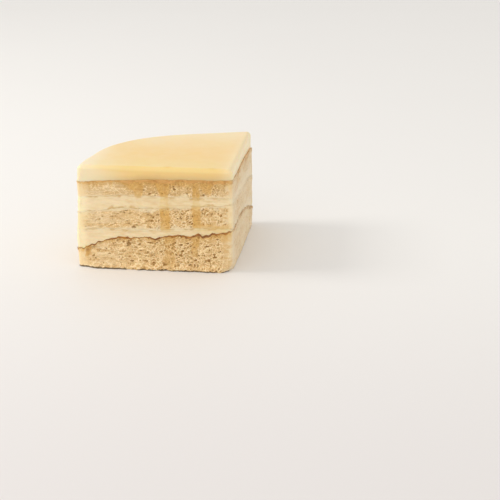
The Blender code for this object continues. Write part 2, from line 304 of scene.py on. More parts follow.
class CakeColours(bpy.types.PropertyGroup):
    """Colours of the cake's finishes, as linear light."""

    crumb: colour_property("Crumb", "Sponge crumb", linear(219, 181, 122))
    crumb_dark: colour_property("Dark crumb", "Denser patches of crumb", linear(206, 165, 101))
    # Painted highlight: the paler colour painted on the crumb's raised walls.
    strand_highlight: colour_property("Strand", "Fine walls of the crumb", linear(252, 223, 173))
    # Painted shade: the dark colour painted into pores and cell hollows, deeper ones darker.
    pore: colour_property("Pore", "Inside of a pore", linear(156, 114, 46))
    crust: colour_property("Crust", "Browned crust", linear(184, 123, 34))
    scorched_crust: colour_property("Scorched crust", "Darkest crust", linear(140, 83, 8))
    pale_crust: colour_property("Pale crust", "Crust under the topping", linear(221, 170, 98))
    crust_line: colour_property("Crust line", "Darker patches of it", linear(200, 148, 74))
    # Brown skin of the base's edge with the contact shadow beneath it painted in: partly real, partly
    # painted shade.
    foot: colour_property("Foot", "Brown skin of the base's edge", linear(96, 74, 36))
    honey: colour_property("Honey", "Tint that a thin soaking of honey gives", (0.84, 0.69, 0.32))
    amber: colour_property("Amber", "Crumb full of honey", linear(222, 171, 74))
    honeyed_cream: colour_property("Honeyed cream", "Cream under honey", linear(238, 204, 124))
    cream: colour_property("Cream", "Cream filling", linear(241, 220, 179))
    cream_dark: colour_property("Dark cream", "Streaks and edges of cream", linear(222, 191, 136))
    topping: colour_property("Topping", "Set honey custard", linear(238, 203, 132))
    golden: colour_property("Golden topping", "Custard at the front rim", linear(236, 208, 138))
    # Darker custard by the crust: partly honey soaked in, partly painted shade at the joint with the
    # crust.
    soaked_and_shaded_topping: colour_property("Soaked topping", "Custard by the crust", linear(219, 187, 134))
    # Paler custard towards the back; at the far left it is painted light, and by the side cut painted
    # sheen.
    pale_and_lit_topping: colour_property("Pale topping", "Back and edges of it", linear(241, 226, 188))
    # Painted sheen: the pale veil that grazing light lays on the side cut, painted into the custard's
    # colour.
    side_topping_sheen: colour_property("Side of topping", "Custard at the side cut", linear(255, 231, 183))
    # Partly a film that the knife left on the side cut, partly painted sheen from grazing light.
    dusty_sheen: colour_property("Dusty", "Film that the knife left on the side cut", linear(241, 218, 178))
    # Painted light: paler cream and crumb down the front cut's upright edges, lit from the left at
    # the far one and lifted against the corner's shade at the tip.
    rubbed: colour_property("Rubbed cream", "Cream at the far corner", linear(255, 237, 194))
    lit_corner_crumb: colour_property("Rubbed crumb", "Crumb at the far corner", linear(255, 228, 178))
    floor: colour_property("Floor", "Floor", (0.86, 0.845, 0.82))


# ---------------------------------------------------------------- smooth noise


def table_places(*corners):
    """Which values of a noise table belong to a lattice's corners."""
    mixed = 0
    for corner, prime in zip(corners, (73856093, 19349663, 83492791)):
        mixed = mixed ^ corner * prime
    return mixed & (NOISE_VALUES - 1)


def lattice_noise(x, y, length, seed, z=0):
    """Smooth values from -1 to 1 over arrays of places, with one seeded value a lattice corner."""
    table = np.random.default_rng(seed).uniform(-1, 1, NOISE_VALUES)
    places = [np.asarray(axis, float) / length for axis in (x, y, z)]
    corners = [np.floor(place).astype(np.int64) for place in places]
    shares = [place - corner for place, corner in zip(places, corners)]
    shares = [share * share * (3 - 2 * share) for share in shares]
    total = 0
    for steps in itertools.product((0, 1), repeat=3):
        weight = 1
        for share, step in zip(shares, steps):
            weight = weight * (share if step else 1 - share)
        chosen = table_places(*(corner + step for corner, step in zip(corners, steps)))
        total = total + weight * table[chosen]
    return total


def layered_noise(x, y, length, seed, octaves=3, z=0):
    """Noise with finer and weaker noise on it, from about -1 to 1."""
    total, strength = 0, 0.6
    for octave in range(octaves):
        total = total + strength * lattice_noise(x, y, length / 2**octave, seed + octave, z)
        strength /= 2
    return total


def smooth_step(values, low, high):
    """Shares that ease from 0, at the low value and below it, to 1 at the high one and above."""
    share = np.clip((values - low) / (high - low), 0, 1)
    return share * share * (3 - 2 * share)


# ---------------------------------------------------------------- the cake's outline and surfaces


def smooth_curve(stations, values, at):
    """Values at places, on a smooth curve through those at the stations."""
    stations, values, at = (np.asarray(numbers, float) for numbers in (stations, values, at))
    last = len(stations) - 1
    before = np.maximum(np.arange(last + 1) - 1, 0)
    after = np.minimum(np.arange(last + 1) + 1, last)
    slopes = (values[after] - values[before]) / (stations[after] - stations[before])
    index = np.clip(np.searchsorted(stations, at) - 1, 0, last - 1)
    width = stations[index + 1] - stations[index]
    t = (at - stations[index]) / width
    return (
        (2 * t**3 - 3 * t**2 + 1) * values[index]
        + (t**3 - 2 * t**2 + t) * width * slopes[index]
        + (3 * t**2 - 2 * t**3) * values[index + 1]
        + (t**3 - t**2) * width * slopes[index + 1]
    )


def rim_radius(turn):
    """Distance from the tip to the round side, at turns in degrees from the front cut face."""
    return smooth_curve(RIM_TURNS, RIM_RADII, np.clip(turn, 0, 90))


def arc(centre, radius, start, end, steps, round_side, along_start, along_end, uneven=False):
    """An arc without its last point. An uneven one adds the round side's own radius to the given."""
    share = np.arange(steps) / steps
    angle = start + (end - start) * share
    out_x, out_y = np.cos(angle), np.sin(angle)
    if uneven:
        radius = rim_radius(180 - np.degrees(angle)) + radius
    return Outline(
        centre[0] + radius * out_x,
        centre[1] + radius * out_y,
        out_x,
        out_y,
        np.full(steps, float(round_side)),
        along_start + (along_end - along_start) * share,
    )


def straight(start, end, out, steps, along_start, along_end):
    """A cut face's edge without its last point."""
    share = np.arange(steps) / steps
    return Outline(
        start[0] + (end[0] - start[0]) * share,
        start[1] + (end[1] - start[1]) * share,
        np.full(steps, float(out[0])),
        np.full(steps, float(out[1])),
        np.zeros(steps),
        along_start + (along_end - along_start) * share,
    )


def quarter_outline(form, inset=0, flare=0):
    """Round the quarter cake with the tip at (0, 0): the front, the side, then the round side."""
    corner = max(form.corner_round - inset, SHARPEST_CORNER)
    near = inset + corner  # from a cut face's plane to the centre of a corner's arc
    extra = flare - inset
    turn = math.degrees(near / CAKE_RADIUS)
    front, side = rim_radius(turn) + extra - corner, rim_radius(90 - turn) + extra - corner
    front_reach, side_reach = math.sqrt(front**2 - near**2), math.sqrt(side**2 - near**2)
    front_lean, side_lean = math.asin(near / front), math.asin(near / side)
    right, up, left, down = (math.radians(angle) for angle in (0, 90, 180, 270))
    tip, back, end = (-near, near), (-near, side_reach), (-front_reach, near)
    arc_start, arc_end = side_reach + 2 * corner, side_reach + (left - up) * CAKE_RADIUS
    pieces = (
        straight((-front_reach, inset), (-near, inset), (0, -1), CUT_STEPS, -front_reach, -near),
        arc(tip, corner, down - math.tau, right, CORNER_STEPS, 0, -near, near),
        straight((-inset, near), (-inset, side_reach), (1, 0), CUT_STEPS, near, side_reach),
        arc(back, corner, right, up + side_lean, CORNER_STEPS, 0.5, side_reach, arc_start),
        arc((0, 0), extra, up + side_lean, left - front_lean, ARC_STEPS, 1, arc_start, arc_end, True),
        arc(end, corner, left - front_lean, down, CORNER_STEPS, 0.5, arc_end, arc_end + corner),
    )
    return Outline(*(np.concatenate(arrays) for arrays in zip(*pieces)))


def surface_height(surface, x, y):
    """Heights of a surface over places measured from the tip."""
    turn = np.degrees(np.arctan2(y, -x))
    share = np.hypot(x, y) / rim_radius(turn)
    front = smooth_curve(STATIONS, surface.front, share)
    side = smooth_curve(STATIONS, surface.side, share)
    height = front + (side - front) * smooth_step(turn, 0, 90)
    seed = int(surface.front[0] * 1e5)
    height = height + surface.ripple * lattice_noise(x, y, RIPPLE_LENGTH, seed)
    height = height + surface.jag * layered_noise(x, y, JAG_LENGTH, seed + 1, 2)
    if surface is LOWER_CRUST:
        fade = 1 - smooth_step(y, 0, BREAK_DEPTH)
        height = height + fade * np.interp(-x, BREAK_PLACES, BREAK_LIFTS)
    return height


def rim_height(surface):
    """About how high a surface is at the rim."""
    return (surface.front[-1] + surface.side[-1]) / 2


# ---------------------------------------------------------------- a layer's wall


def wall_rows(count, edge_steps, base_round, top_round):
    """The rows of a wall, from its lower edge to its upper one, with count steps between the two."""
    rows = []
    for step in range(edge_steps if base_round else 0):
        angle = math.radians(90) * step / edge_steps
        rows.append(Row(0, -base_round * math.cos(angle), base_round * (1 - math.sin(angle))))
    rows += [Row(step / count, 0, 0) for step in range(count + 1)]
    for step in range(1, edge_steps + 1 if top_round else 0):
        angle = math.radians(90) * step / edge_steps
        rows.append(Row(1, top_round * math.sin(angle), top_round * (1 - math.cos(angle))))
    return rows


def plain_wall(form, lower, upper, count, edge_steps=0, base_round=0, top_round=0):
    """The wall between two surfaces before any relief."""
    grids = []
    along = quarter_outline(form).along
    rim_foot, rim_head = rim_height(lower) + base_round, rim_height(upper) - top_round
    for row in wall_rows(count, edge_steps, base_round, top_round):
        rim = rim_foot + (rim_head - rim_foot) * row.share + row.rise
        flare = float(smooth_curve(FLARE_HEIGHTS, FLARE, min(max(rim, 0), CAKE_HEIGHT)))
        line = quarter_outline(form, row.inset, flare)
        low = surface_height(lower, line.x, line.y) - (SEAM if lower is not BASE else 0)
        high = surface_height(upper, line.x, line.y) + (SEAM if upper is not CAKE_TOP else 0)
        foot, head = low + base_round, high - top_round
        z = foot + (head - foot) * row.share + row.rise
        side = np.maximum(line.out_x, 0) ** 2
        placed = (line.x, line.y, z, line.out_x, line.out_y, line.round_side, along)
        grids.append((*placed, z - low, high - z, side))
    return Wall(*(np.array(grid) for grid in zip(*grids)))


def scatter_pores(wall, share, seed):
    """Pores over a wall, fewer on the side cut and the round side, and the front's large ones.

    The share is of the densest layer's pores.
    """
    draw = np.random.default_rng(seed)
    low, high = wall.along.min(), wall.along.max()
    bottom, top = wall.z.min(), wall.z.max()
    area = (high - low) * (top - bottom)
    pores = []
    for per_cm2, smallest, largest, depth in PORE_KINDS:
        for _ in range(int(per_cm2 * area * 1e4)):
            along, height = draw.uniform(low, high), draw.uniform(bottom, top)
            size = draw.uniform(smallest, largest)
            flat, lean = draw.uniform(0.5, 1), draw.uniform(-0.8, 0.8)
            if draw.uniform() < np.interp(along, KEPT_PLACES, KEPT_SHARES) * share:
                pores.append(Pore(along, height, size, flat, lean, depth * size))
    for distance, height, size, flat in CRATERS:
        if bottom < height < top:
            lean_out = CAKE_RADIUS / (CAKE_RADIUS + np.interp(height, FLARE_HEIGHTS, FLARE))
            pores.append(Pore(-distance * lean_out, height, size, flat, 0.2, 0.8 * size))
    return pores


def carve_pores(wall, pores, seed):
    """Depth of the pores over a wall, and a share of the raised walls that ring them.

    Each is an uneven oval bowl with a steep edge.
    """
    depth, ring = np.zeros_like(wall.z), np.zeros_like(wall.z)
    rough = 0.35 * lattice_noise(wall.along, wall.z, 0.0007, seed)
    columns = wall.along[0]
    for pore in pores:
        reach = 1.8 * pore.size
        first, last = np.searchsorted(columns, (pore.along - reach, pore.along + reach))
        part = slice(first, last)
        across, rise = wall.along[:, part] - pore.along, wall.z[:, part] - pore.height
        cos, sin = math.cos(pore.lean), math.sin(pore.lean)
        wide = (across * cos + rise * sin) / pore.size
        tall = (rise * cos - across * sin) / (pore.size * pore.flat)
        away = np.hypot(wide, tall) + rough[:, part]
        bowl = pore.depth * np.sqrt(np.clip(1 - away, 0, 1))
        depth[:, part] = np.maximum(depth[:, part], bowl)
        ring[:, part] = np.maximum(ring[:, part], np.exp(-(((away - 1.25) / 0.22) ** 2)))
    return depth, ring


def soaked(wall):
    """How far honey has soaked in, from 0 to 1: soft uneven runs down the front cut face."""
    soak = np.zeros_like(wall.z)
    wander = 0.0010 * layered_noise(wall.along, wall.z, 0.0060, 71, 2)
    wander = wander + 0.0006 * layered_noise(wall.along, wall.z, 0.0017, 73, 2)
    ragged = 0.0014 * layered_noise(wall.along, wall.z, 0.0026, 75, 2)
    patchy = 0.86 + 0.28 * layered_noise(wall.along, wall.z / 1.5, 0.0030, 79, 3)
    distance, height = wander - wall.x, wall.z + ragged
    for run in HONEY_RUNS:
        heights, middles, widths = (np.array(numbers[::-1]) for numbers in zip(*run.course))
        beside = np.abs(distance - np.interp(height, heights, middles))
        across = 1 - smooth_step(beside / np.interp(height, heights, widths), 0.70, 1.12)
        ends = smooth_step(height, heights[0] - 0.0014, heights[0] + 0.0008)
        ends = ends * (1 - smooth_step(height, heights[-1] - 0.0004, heights[-1] + 0.0014))
        soak = np.maximum(soak, run.strength * across * ends)
    return np.clip(soak * patchy, 0, 1) * (wall.round_side < 0.75) * (wall.y < 0.004)


def cells(along, height, width, seed):
    """A foam over arrays of places: how far each is inside its cell, and the cell's own number."""
    table = np.random.default_rng(seed).uniform(0, 1, (NOISE_VALUES, 3))
    x = along / width + 0.45 * lattice_noise(along, height, 1.3 * width, seed + 1)
    y = 1.25 * height / width + 0.45 * lattice_noise(along, height, 1.3 * width, seed + 2)
    corner_x, corner_y = np.floor(x).astype(np.int64), np.floor(y).astype(np.int64)
    nearest, second = np.full_like(x, 9.0), np.full_like(x, 9.0)
    own = np.zeros_like(x)
    for dx, dy in itertools.product((-1, 0, 1), repeat=2):
        drawn = table[table_places(corner_x + dx, corner_y + dy)]
        away = np.hypot(corner_x + dx + drawn[..., 0] - x, corner_y + dy + drawn[..., 1] - y)
        closer = away < nearest
        second = np.where(closer, nearest, np.minimum(second, away))
        own = np.where(closer, drawn[..., 2], own)
        nearest = np.minimum(nearest, away)
    return second - nearest, own


def rubbed_and_lit_corners(wall):
    """Share of the pale strips down the front cut's two upright edges: their crumb is rubbed smooth,
    and their colour is painted light.

    The strip at the tip ends above the lower crust.
    """
    wander = 0.0014 * layered_noise(wall.along, wall.z, 0.0042, 97, 3)
    front = smooth_step(wander - wall.along, 0.0815, 0.0868)
    last = wall.along.max()
    far = np.maximum(front, smooth_step(wall.along, last - 0.010, last - 0.002))
    far = far * (0.88 + 0.12 * smooth_step(wall.z, 0.010, 0.016))
    near = 0.75 * np.exp(-(((wall.along - 0.0008) / 0.0034) ** 2))
    return np.maximum(far, near * smooth_step(wall.z, 0.022, 0.027))


def rubbed_share(wall, look, honey):
    """Share of the crumb's relief that the knife, the cream or honey has rubbed or filled away."""
    tip = 1 - smooth_step(np.abs(wall.along), 0.6 * look.bare_tip, look.bare_tip)
    skin = 0.55 * wall.round_side + 0.30 * wall.side
    far = look.far * smooth_step(-wall.along, 0.040, 0.070)
    kept = (1 - 0.8 * rubbed_and_lit_corners(wall)) * (1 - 0.8 * tip) * (1 - skin)
    kept = kept * (1 - 0.30 * honey) * (1 - far)
    for smear, distance in ((look.smear_low, wall.above), (look.smear_high, wall.below)):
        if smear:
            kept = kept * smooth_step(distance, -0.0001, 0.0012)
    return 1 - kept


def crumb_relief(form, wall, look, rubbed, seed):
    """Outward steps of a sponge's wall, and how light its colour is painted: down to -1, painted
    shade, in a deep pore, up to 1, painted highlight, on a crest.
    """
    drawn = np.interp(wall.along, DRAG_PLACES, DRAG_RUNS)
    relief, tone_and_shading = 0, 0
    for number, (width, deepest, crest, strength) in enumerate(CELL_KINDS):
        inside, own = cells(drawn, wall.z, width, seed + 31 * number)
        open_share = np.clip((own - look.closed) / 0.60, 0, 1)
        bowl = smooth_step(inside, 0.08, 0.50) * open_share * look.openness
        between = 1 - smooth_step(inside, 0.02, 0.28)
        patchy = 0.65 + 0.9 * lattice_noise(wall.along, wall.z, 0.0021, seed + number)
        patchy = np.clip(patchy, 0, 1)
        relief = relief + crest * between * patchy - deepest * bowl
        # Painted light: the cell walls are painted lighter and their hollows darker.
        tone_and_shading = tone_and_shading + (0.70 * between * patchy - 0.95 * bowl) * strength
    pores, rings = carve_pores(wall, scatter_pores(wall, look.pores, seed), seed + 5)
    pores = pores * smooth_step(wall.below, 0, 0.0006)
    fine = lattice_noise(wall.along, wall.z, 0.0006, seed + 4)
    broad = lattice_noise(wall.along, wall.z, 0.0075, seed + 9)
    broad = broad + 0.4 * lattice_noise(wall.along, wall.z, 0.0026, seed + 8)
    relief = relief + form.grain * (fine + 0.6 * rings) - pores + form.unevenness * broad
    streaks = layered_noise(drawn / 3, wall.z, 0.0010, seed + 3, 2)
    dragged = smooth_step(-wall.along, 0.045, 0.075)
    # Painted light: the rings round pores are painted lighter and deeper pores darker; fine noise and
    # the knife's streaks vary it at random.
    tone_and_shading = tone_and_shading + 0.04 + 0.22 * fine + 0.3 * rings - pores / FULL_SHADE_DEPTH + 0.4 * dragged * streaks
    return relief * (1 - rubbed), np.clip(tone_and_shading * (1 - rubbed), -1, 1)


def crust_thickness(wall, crust, seed):
    """How thick a crust is along a wall, from place to place. On the side cut it is smudged wide."""
    uneven = lattice_noise(wall.along, 0, 0.0034, seed)
    uneven = uneven + 0.9 * lattice_noise(wall.along, 0, 0.0011, seed + 1)
    near_tip = (1 - smooth_step(np.abs(wall.along), 0.030, 0.036)) * (1 - wall.side)
    return crust * np.clip(1 + 0.5 * uneven + 0.2 * near_tip + 0.9 * wall.side, 0.35, 2.5)


def drip_share(wall):
    """Share of the drip of brown below a crust, fading towards its lower end."""
    wander = 0.0006 * layered_noise(wall.along, wall.z, 0.0022, 93, 2)
    across = np.exp(-(((wall.along + DRIP_PLACE + wander) / DRIP_WIDTH) ** 2))
    fading = 1 - smooth_step(wall.below, 0.3 * DRIP_LENGTH, DRIP_LENGTH)
    return DRIP_STRENGTH * across * fading


def crust_edge(form, wall, thickness, seed):
    """Outward steps of a crust: its lip at the round side and its broken skin at the cuts."""
    up = wall.above / (wall.above + wall.below)
    lip = form.crust_lip * wall.round_side * np.clip(up, 0, 1) ** 4
    flake = lattice_noise(wall.along, wall.z, 0.0013, seed + 7)
    skin = 1 - smooth_step(wall.below / thickness, 0.6, 1.2)
    return lip + FLAKE * (0.6 + flake) * skin


def front_foot(wall):
    """Share of the foot along the front cut, dying out towards its two ends."""
    return (1 - smooth_step(wall.along, -0.006, 0)) * smooth_step(wall.along, -0.0875, -0.0780)


def broken_foot(wall):
    """Share of the stretch of the front's foot that is crumbled: all but its far third."""
    return smooth_step(wall.along, -FOOT_BREAK, 0.0008 - FOOT_BREAK) * (wall.along < 0.002)


def frayed_base(form, wall, seed):
    """Outward steps of the foot: it spreads along the front, crumbled, and is crushed at the tip."""
    bits = layered_noise(wall.along, wall.z, 0.0021, seed, 3)
    low = 1 - smooth_step(wall.z, 0.0006, 0.0020)
    spread = front_foot(wall) * (1.15 - 0.15 * broken_foot(wall))
    spread = spread * (1 - smooth_step(wall.z, 0.0004, FOOT_HEIGHT))
    crushed = np.exp(-((wall.along / CRUSH_WIDTH) ** 2))
    crushed = crushed * np.clip(1 - wall.z / CRUSH_HEIGHT, 0, 1) ** 2
    fraying = form.fraying * (0.3 + 0.7 * broken_foot(wall))
    return form.foot_spread * spread - fraying * bits * low - form.tip_crush * crushed


def browned_and_shaded_foot(wall, seed):
    """Share of the dark foot along the base's edge: its brown skin, with the contact shadow under it
    painted in, which shows in dashes where it is broken.
    """
    dashes = smooth_step(layered_noise(wall.along, 0, 0.0040, seed + 1, 3), -0.25, 0.0)
    uneven = 0.0004 * layered_noise(wall.along, wall.z, 0.0016, seed, 2)
    whole = 1 - broken_foot(wall)
    # The foot and its painted contact shadow mostly fade out along the side cut.
    shown = np.maximum(whole, dashes) * (1 - 0.88 * wall.side)
    return 0.95 * shown * (1 - smooth_step(wall.z + uneven - 0.0002 * whole, 0.0005, 0.0010))


def swell(form, wall):
    """Outward steps of the side cut face's bulge."""
    return form.side_swell * smooth_step(wall.y, 0, 0.7 * CAKE_RADIUS) * wall.side


def cream_relief(form, wall, seed):
    """Outward steps of a filling's wall: squeezed out at the rim, drawn by the knife at the cuts."""
    bow = np.sin(math.pi * np.clip(wall.above / (wall.above + wall.below), 0, 1))
    bulge = form.cream_bulge * bow * (wall.round_side - 0.5 * (1 - wall.round_side))
    lines = lattice_noise(wall.along / 14, wall.z, 0.0006, seed)
    lumps = layered_noise(wall.along / 2, wall.z, 0.0018, seed + 3, 2)
    return bulge + form.cream_drag * (lines + 1.4 * lumps) + swell(form, wall)


def topping_relief(wall, seed):
    """Outward steps of the topping's wall: smooth, with faint lines left by the knife."""
    lines = lattice_noise(wall.along / 20, wall.z, 0.0011, seed)
    dents = lattice_noise(wall.along, wall.z, 0.012, seed + 1)
    return TOPPING_LINES * lines + TOPPING_DENTS * dents


def smeared(wall, look, seed):
    """Share of a film of cream on a sponge: beside a filling, and where the knife dragged it."""
    drawn = np.interp(wall.along, DRAG_PLACES, DRAG_RUNS)
    patchy = layered_noise(drawn, wall.z * 1.6, 0.0046, seed, 3)
    streaks = layered_noise(drawn / 3, wall.z, 0.0011, seed + 3, 2)
    wander = 0.0020 * patchy + 0.0010 * streaks
    film = np.zeros_like(wall.z)
    for reach, distance in ((look.smear_low, wall.above), (look.smear_high, wall.below)):
        if reach:
            edge = smooth_step(distance - reach - wander, -0.0008, 0.0012)
            film = np.maximum(film, 0.8 * (1 - edge))
    far = smooth_step(-wall.along, 0.045, 0.082)
    corner = np.exp(-((wall.along / 0.0060) ** 2))
    dragged = (0.45 * far + 0.85 * corner) * np.clip(0.6 + 0.6 * patchy + 1.1 * streaks, 0, 1)
    return np.clip(np.maximum(film, dragged), 0, 1)


def dusted_and_sheened(wall, seed):
    """Share of the pale film on the side cut, in streaks: partly a film that the knife left, partly
    painted sheen.
    """
    patchy = layered_noise(wall.along / 2, wall.z, 0.0065, seed, 3)
    streaks = layered_noise(wall.along / 5, wall.z, 0.0017, seed + 4, 3)
    scrape = np.exp(-(((wall.along - 0.0228) / 0.0022) ** 2)) * smooth_step(wall.z, 0.026, 0.031)
    return wall.side * np.clip(0.74 + 0.30 * patchy + 0.45 * streaks - 0.55 * scrape, 0, 1)


# ---------------------------------------------------------------- building a layer


def add_cap(points, faces, ring, x, y, height, scales, faces_up):
    """Closes a ring of points at x and y with ever smaller ones, halved where they crowd."""
    before = 1
    for scale in scales:
        crowded = OUTLINE_LENGTH * scale / len(ring) < (before - scale) * HUB
        halve = crowded and len(ring) % 2 == 0
        if halve:
            x, y = x[::2], y[::2]
        inner_x, inner_y = -HUB + (x + HUB) * scale, HUB + (y - HUB) * scale
        start = sum(len(part) for part in points)
        points.append(np.column_stack((inner_x, inner_y, height(inner_x, inner_y))))
        inner = list(range(start, start + len(x)))
        for index, vert in enumerate(inner):
            ahead = inner[(index + 1) % len(inner)]
            if halve:
                first, second = ring[2 * index], ring[2 * index + 1]
                third = ring[(2 * index + 2) % len(ring)]
                found = [(first, second, vert), (second, ahead, vert), (second, third, ahead)]
            else:
                found = [(ring[index], ring[(index + 1) % len(ring)], ahead, vert)]
            faces += [face if faces_up else face[::-1] for face in found]
        ring, before = inner, scale
    hub = sum(len(part) for part in points)
    points.append(np.array([(-HUB, HUB, height(np.array([-HUB]), np.array([HUB]))[0])]))
    for index, vert in enumerate(ring):
        face = (vert, ring[(index + 1) % len(ring)], hub)
        faces.append(face if faces_up else face[::-1])


def add_layer(name, form, wall, out, lower, upper, attributes, top_scales=HIDDEN_CAP):
    """One layer as a closed mesh: its wall with its relief, and a cap below and above.

    Attributes are grids over the wall, or functions of a place, which also reach the caps.
    """

    def lower_height(x, y):
        return surface_height(lower, x, y) - (SEAM if lower is not BASE else 0)

    def upper_height(x, y):
        lift = SEAM if upper is not CAKE_TOP else topping_waves(form, x, y)
        return surface_height(upper, x, y) + lift

    x, y, z = wall.x + wall.out_x * out, wall.y + wall.out_y * out, wall.z.copy()
    z[0] = lower_height(x[0], y[0])
    z[-1] = upper_height(x[-1], y[-1])
    rows, columns = z.shape
    points = [np.column_stack((x.ravel(), y.ravel(), z.ravel()))]
    faces = []
    for row in range(rows - 1):
        for column in range(columns):
            ahead = (column + 1) % columns
            low, high = row * columns, (row + 1) * columns
            faces.append((low + column, low + ahead, high + ahead, high + column))
    add_cap(points, faces, list(range(columns)), x[0], y[0], lower_height, HIDDEN_CAP, False)
    last = (rows - 1) * columns
    ring = list(range(last, last + columns))
    add_cap(points, faces, ring, x[-1], y[-1], upper_height, top_scales, True)
    mesh = bpy.data.meshes.new(name)
    places = np.concatenate(points) + np.array(TIP)
    mesh.from_pydata(places.tolist(), [], faces)
    for key, values in attributes.items():
        filled = np.zeros(len(places), np.float32)
        if callable(values):
            filled[:] = values(*np.concatenate(points).T)
        else:
            filled[: values.size] = values.ravel()
        mesh.attributes.new(key, "FLOAT", "POINT").data.foreach_set("value", filled)
    mesh.shade_smooth()
    mesh.update()
    piece = bpy.data.objects.new(name, mesh)
    bpy.context.scene.collection.objects.link(piece)
    return piece


def topping_waves(form, x, y):
    """The set custard's slow waves, which die out at its rounded edge."""
    wave = layered_noise(x, y, 0.030, 41, 2)
    from_rim = rim_radius(np.degrees(np.arctan2(y, -x))) - np.hypot(x, y)
    inside = np.minimum(np.minimum(-x, y), from_rim)
    return form.topping_wave * (wave - 0.4) * smooth_step(inside, 0.002, 0.012)


def golden_share(x, y, z):
    """Share of the deeper yellow of the topping: at its front rim, dying out behind and below."""
    wander = 0.004 * layered_noise(x, y, 0.022, 83, 2, z)
    behind = 1 - smooth_step(y + wander, 0.002, 0.026)
    behind = behind * smooth_step(-x, 0.001, 0.012)
    return behind * smooth_step(z, CAKE_HEIGHT - 0.0044, CAKE_HEIGHT - 0.0010)


def seeping_and_shade_share(x, y, z):
    """Share of the darker custard beside the crust: partly where it has soaked into the crust, partly
    painted shade at their joint.
    """
    wander = 0.0005 * layered_noise(x, y, 0.0035, 87, 3)
    return 1 - smooth_step(z - surface_height(UPPER_CRUST, x, y) + wander, -0.0002, 0.0040)


def pale_and_lit_share(x, y, z):
    """Share of the paler custard: towards the back; at the far left it is painted light, and by the
    tip along the side cut painted sheen.
    """
    edge = 0.60 * np.exp(-((x / 0.0055) ** 2))
    wander = 0.010 * layered_noise(x, y, 0.030, 91, 2, z)
    back = smooth_step(y + wander, 0.030, 0.088)
    left = 0.7 * smooth_step(-x + wander, 0.060, 0.090)
    top = smooth_step(z, CAKE_HEIGHT - 0.004, CAKE_HEIGHT - 0.001)
    face = 0.95 * smooth_step(-x + 0.2 * wander, 0.054 + 0.016 * top, 0.089)
    return np.maximum(np.maximum(0.60 * np.maximum(back, left) * top, face), edge)


def honeyed_share(x, y, z):
    """Share of honey in the custard: two faint blisters, and the stretch that ran into the crust."""
    share = 1.1 * np.exp(-(((x + HONEYED_PLACE) / HONEYED_WIDTH) ** 2))
    share = share * seeping_and_shade_share(x, y, z) * (y < 0.004)
    for distance, behind, size in BLISTERS:
        across, up = x + distance, (y - behind) * 0.8 + (z - CAKE_HEIGHT)
        share = share + np.exp(-((across / size) ** 2) - (up / (0.55 * size)) ** 2)
    return share


# ---------------------------------------------------------------- node helpers


def add_node(tree, kind, **settings):
    node = tree.nodes.new(kind)
    for key, value in settings.items():
        setattr(node, key, value)
    return node


def join(tree, source, socket):
    """Feeds a socket from another one, or sets it to a value."""
    if isinstance(source, bpy.types.NodeSocket):
        tree.links.new(source, socket)
    elif socket.type == "RGBA":
        socket.default_value = (*source, 1)
    else:
        socket.default_value = source


def set_inputs(node, values):
    for name, value in values.items():
        node.inputs[name].default_value = value


def maths(tree, operation, first, second):
    node = add_node(tree, "ShaderNodeMath", operation=operation)
    join(tree, first, node.inputs[0])
    join(tree, second, node.inputs[1])
    return node.outputs[0]


def times(tree, first, second):
    return maths(tree, "MULTIPLY", first, second)


def blend_colours(tree, factor, first, second, kind="MIX"):
    """The first colour going over to the second, or tinted by it, as the factor grows."""
    node = add_node(tree, "ShaderNodeMix", data_type="RGBA", blend_type=kind)
    join(tree, factor, node.inputs["Factor"])
    join(tree, first, node.inputs[6])
    join(tree, second, node.inputs[7])
    return node.outputs[2]


def remap(tree, value, low, high, to_low=0.0, to_high=1.0):
    """A value eased from one range to another."""
    node = add_node(tree, "ShaderNodeMapRange", interpolation_type="SMOOTHSTEP")
    join(tree, value, node.inputs["Value"])
    set_inputs(node, {"From Min": low, "From Max": high, "To Min": to_low, "To Max": to_high})
    return node.outputs["Result"]


def noise(tree, place, size, detail=2.0, roughness=0.5):
    """Noise with features of a size in metres, from 0 to 1."""
    node = add_node(tree, "ShaderNodeTexNoise")
    join(tree, place, node.inputs["Vector"])
    set_inputs(node, {"Scale": 1 / size, "Detail": detail, "Roughness": roughness})
    return node.outputs["Fac"]


def attribute(tree, name):
    return add_node(tree, "ShaderNodeAttribute", attribute_name=name).outputs["Fac"]


def new_group(name, inputs, outputs):
    """A shader node group with float or colour sockets, and its two end nodes."""
    tree = bpy.data.node_groups.new(name, "ShaderNodeTree")
    for in_out, sockets in (("INPUT", inputs), ("OUTPUT", outputs)):
        for socket, kind in sockets:
            tree.interface.new_socket(socket, in_out=in_out, socket_type="NodeSocket" + kind)
    return tree, tree.nodes.new("NodeGroupInput"), tree.nodes.new("NodeGroupOutput")


def use_group(tree, group, **inputs):
    node = add_node(tree, "ShaderNodeGroup", node_tree=group)
    for name, value in inputs.items():
        join(tree, value, node.inputs[name])
    return node.outputs


def surface_material(name, roughness, subsurface, radius, coat=0.0, sheen=0.0):
    """A material and its node tree, with the values that are the same all over the surface."""
    material = bpy.data.materials.new(name)
    material.use_nodes = True
    tree = material.node_tree
    shader = tree.nodes["Principled BSDF"]
    values = {
        "Roughness": roughness,
        "Subsurface Weight": subsurface,
        "Subsurface Radius": (1.0, 0.55, 0.25),
        "Subsurface Scale": radius,
        "Coat Weight": coat,
        "Coat Roughness": 0.22,
        "Sheen Weight": sheen,
        "Sheen Roughness": 0.6,
    }
    set_inputs(shader, values)
    return material, tree, shader


def place_of(tree):
    return add_node(tree, "ShaderNodeTexCoord").outputs["Object"]


def set_bump(tree, shader, height, distance, strength=1.0):
    bump = add_node(tree, "ShaderNodeBump")
    set_inputs(bump, {"Strength": strength, "Distance": distance})
    join(tree, height, bump.inputs["Height"])
    join(tree, bump.outputs["Normal"], shader.inputs["Normal"])


